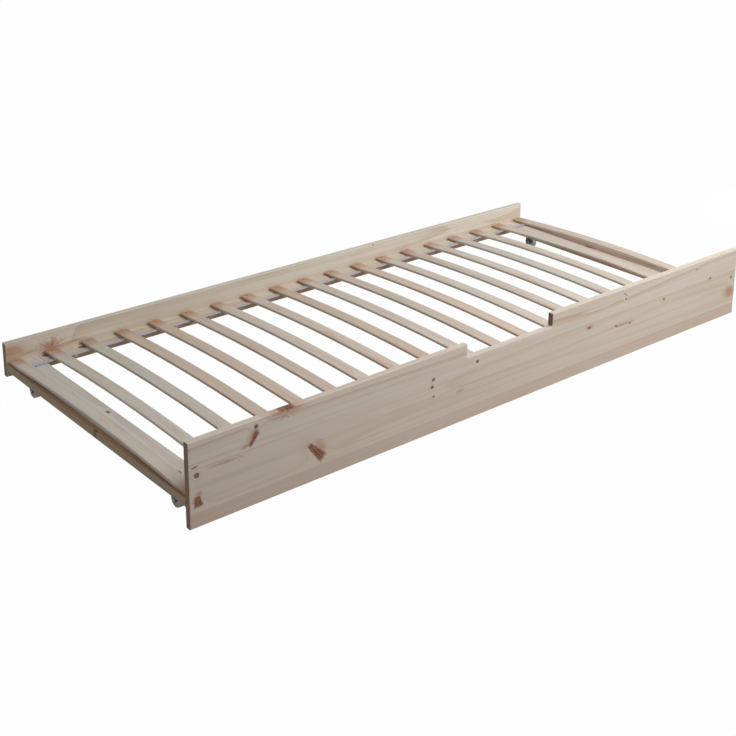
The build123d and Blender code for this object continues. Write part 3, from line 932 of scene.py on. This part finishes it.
class TRUNDLE_OT_fasteners(bpy.types.Operator):
    """Finishes of the staples, screws and dowels"""

    bl_idname = "trundle.fasteners"
    bl_label = "Fasteners"

    def execute(self, context):
        wire = bare_steel("Galvanised staple wire", "4B4843", "7C7870", 0.4)
        zinc = bare_steel("Zinc plated screw steel", "8C8A84", "B5B2A8", 0.3)
        for side in ("front", "back"):
            finish_node(f"slat_staples_{side}", wire)
            finish_node(f"strap_staples_{side}", wire)
            finish_node(f"ledger_screws_{side}", zinc)
        finish_node("caster_screws", zinc)
        # The dowels are hidden in their holes, so pine's figure does for their plain turned wood
        finish_node("dowels", pine("Turned dowel wood", CROSS_BOARD, 83.0))
        return {"FINISHED"}


# ------------------------------------------------------------------ studio
FRAME_WIDTH = 36.0  # millimetres, the sensor that the lens is measured against


def seen_directly(tree):
    """1 for rays from the camera, and for those that glossy or clear surfaces pass on."""
    rays = put(tree, "LightPath").node.outputs
    either = put(tree, "Math", rays["Is Camera Ray"], rays["Is Glossy Ray"], operation="MAXIMUM")
    return put(tree, "Math", either, rays["Is Transmission Ray"], operation="MAXIMUM")


def soft_box(name, place, target, size, watts):
    """A square area lamp that faces a point."""
    data = bpy.data.lights.new(name, "AREA")
    data.size = size
    data.energy = watts
    lamp = bpy.data.objects.new(name, data)
    lamp.location = place
    towards = Vector(target) - lamp.location
    lamp.rotation_euler = towards.to_track_quat("-Z", "Y").to_euler()
    bpy.context.scene.collection.objects.link(lamp)


def white_surroundings(strength):
    """A world that lights evenly from all sides and looks plain white."""
    world = bpy.data.worlds.new("White surroundings")
    world.use_nodes = True
    tree = world.node_tree
    tree.nodes.clear()
    even = put(tree, "Background", Color=linear("FFFFFF"), Strength=strength)
    white = put(tree, "Background", Color=linear("FFFFFF"), Strength=1.0)
    put(tree, "OutputWorld", put(tree, "MixShader", seen_directly(tree), even, white))
    return world


def studio_paper():
    """Matt studio paper: grey for the light that it passes on, and white to look at, but for a faint
    share of grey that shows the shadows."""
    white_share = 0.98
    material = bpy.data.materials.new("White studio floor")
    material.use_nodes = True
    tree = material.node_tree
    tree.nodes.clear()
    grey = put(tree, "BsdfDiffuse", Color=linear("B4B4B4"))
    white = put(tree, "Emission", Color=linear("FFFFFF"), Strength=1.0)
    share = put(tree, "Math", seen_directly(tree), white_share, operation="MULTIPLY")
    put(tree, "OutputMaterial", put(tree, "MixShader", share, grey, white))
    return material


def studio_floor(reach):
    """A square of paper round the origin, which isn't part of the bed."""
    mesh = bpy.data.meshes.new("floor")
    corners = reach * np.array([(-1, -1, 0), (1, -1, 0), (1, 1, 0), (-1, 1, 0)])
    mesh.from_pydata(corners.tolist(), [], [(0, 1, 2, 3)])
    mesh.materials.append(studio_paper())
    floor = bpy.data.objects.new("floor", mesh)
    bpy.context.scene.collection.objects.link(floor)


def studio_camera(look):
    """A level camera, turned by the heading, then tilted down and rolled about its line of sight."""
    data = bpy.data.cameras.new("camera")
    data.sensor_width = FRAME_WIDTH
    data.lens = look.lens
    data.shift_y = look.shift_up
    camera = bpy.data.objects.new("camera", data)
    level = Euler((math.pi / 2 - look.tilt, 0.0, -look.heading)).to_matrix()
    turned = level @ Matrix.Rotation(look.roll, 3, "Z")
    camera.matrix_world = Matrix.Translation(look.position) @ turned.to_4x4()
    bpy.context.scene.collection.objects.link(camera)
    bpy.context.scene.camera = camera


class TRUNDLE_OT_studio(bpy.types.Operator):
    """White floor, even surroundings, two soft boxes and the camera"""

    bl_idname = "trundle.studio"
    bl_label = "Studio"

    def execute(self, context):
        look = context.scene.trundle_studio
        context.scene.view_settings.view_transform = "Standard"
        context.scene.world = white_surroundings(look.sky)
        studio_floor(look.floor_reach)
        soft_box("soft_box", look.lamp_place, look.lamp_target, look.lamp_size, look.lamp_power)
        soft_box("side_box", look.side_place, look.side_target, look.side_size, look.side_power)
        studio_camera(look)
        return {"FINISHED"}


# ------------------------------------------------------------------ add-on
OPERATORS = (
    TRUNDLE_OT_studio,
    TRUNDLE_OT_boards,
    TRUNDLE_OT_ledgers,
    TRUNDLE_OT_slats,
    TRUNDLE_OT_straps,
    TRUNDLE_OT_casters,
    TRUNDLE_OT_fasteners,
)
SETTINGS = {
    "trundle_pine": PineSettings,
    "trundle_strap": StrapSettings,
    "trundle_caster": CasterSettings,
    "trundle_studio": StudioSettings,
}


class TRUNDLE_PT_panel(bpy.types.Panel):
    """Lists the bed's pieces and settings"""

    bl_idname = "TRUNDLE_PT_panel"
    bl_label = "Trundle bed"
    bl_space_type = "VIEW_3D"
    bl_region_type = "UI"
    bl_category = "Trundle bed"

    def draw(self, context):
        for operator in OPERATORS:
            self.layout.operator(operator.bl_idname)
        for name in SETTINGS:
            group = getattr(context.scene, name)
            box = self.layout.box()
            for field in group.bl_rna.properties.keys():
                if field not in ("rna_type", "name"):
                    box.prop(group, field)


def register():
    for group in (*SETTINGS.values(), *OPERATORS, TRUNDLE_PT_panel):
        bpy.utils.register_class(group)
    for name, group in SETTINGS.items():
        setattr(bpy.types.Scene, name, bpy.props.PointerProperty(type=group))


def unregister():
    for name in SETTINGS:
        delattr(bpy.types.Scene, name)
    for group in (TRUNDLE_PT_panel, *reversed(OPERATORS), *reversed(SETTINGS.values())):
        bpy.utils.unregister_class(group)


def main():
    register()
    bpy.ops.trundle.studio()
    bpy.ops.trundle.boards()
    bpy.ops.trundle.ledgers()
    bpy.ops.trundle.slats()
    bpy.ops.trundle.straps()
    bpy.ops.trundle.casters()
    bpy.ops.trundle.fasteners()


if __name__ == "__main__":
    main()
